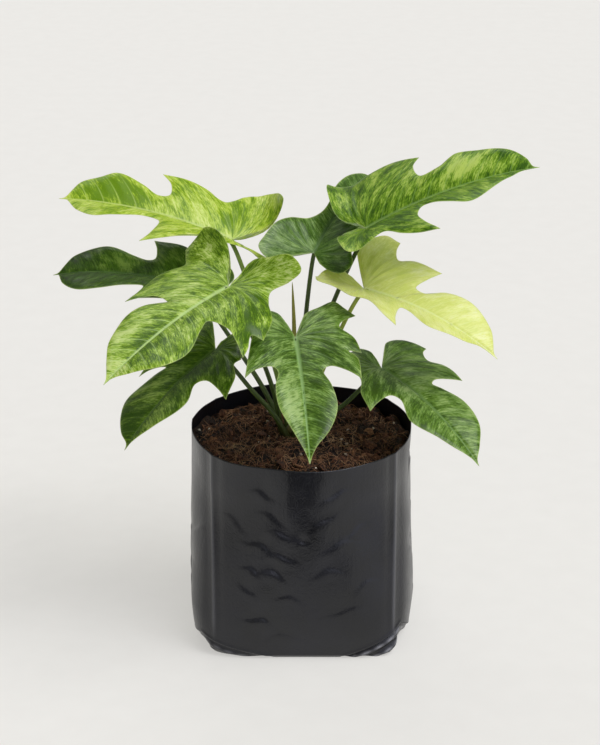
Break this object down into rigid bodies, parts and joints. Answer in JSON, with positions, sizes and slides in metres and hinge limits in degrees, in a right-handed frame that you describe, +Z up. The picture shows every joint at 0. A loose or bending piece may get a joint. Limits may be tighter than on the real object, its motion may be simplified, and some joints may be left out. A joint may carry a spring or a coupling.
{
  "type": "potted variegated philodendron",
  "caption": "Young climbing philodendron with lobed, marbled green and yellow leaves on slender petioles, in a black grow bag of coir.",
  "frame": {"origin": "on the standing surface under the middle of the bag's flat bottom", "axes": "+Z up the bag and the plant, +X to the right of the bag's front, -Y out of the bag's front, where the lowest leaves lean forward"},
  "size_m": [0.3131, 0.2414, 0.3114],
  "materials": {
    "bag_film": "satin",
    "coir": "matte",
    "stem_bark": "satin",
    "new_leaf_sheath": "satin",
    "petiole_green": "satin",
    "petiole_yellow": "satin",
    "blade_front_left": "satin",
    "blade_front_centre": "satin",
    "blade_right_low": "satin",
    "blade_right_pale": "satin",
    "blade_top_right": "satin",
    "blade_top_left": "satin",
    "blade_left_low": "satin",
    "blade_left_dark": "satin",
    "blade_back_centre": "satin"
  },
  "bodies": {
    "root": {"grow_bag": "bag_film", "growing_medium": "coir", "stem_base": "stem_bark", "new_leaf": "new_leaf_sheath", "petiole_front_left": "petiole_green", "leaf_front_left": "blade_front_left", "petiole_front_centre": "petiole_green", "leaf_front_centre": "blade_front_centre", "petiole_right_low": "petiole_green", "leaf_right_low": "blade_right_low", "petiole_right_pale": "petiole_yellow", "leaf_right_pale": "blade_right_pale", "petiole_top_right": "petiole_green", "leaf_top_right": "blade_top_right", "petiole_top_left": "petiole_green", "leaf_top_left": "blade_top_left", "petiole_left_low": "petiole_green", "leaf_left_low": "blade_left_low", "petiole_left_dark": "petiole_green", "leaf_left_dark": "blade_left_dark", "petiole_back_centre": "petiole_green", "leaf_back_centre": "blade_back_centre"}
  },
  "joints": []
}
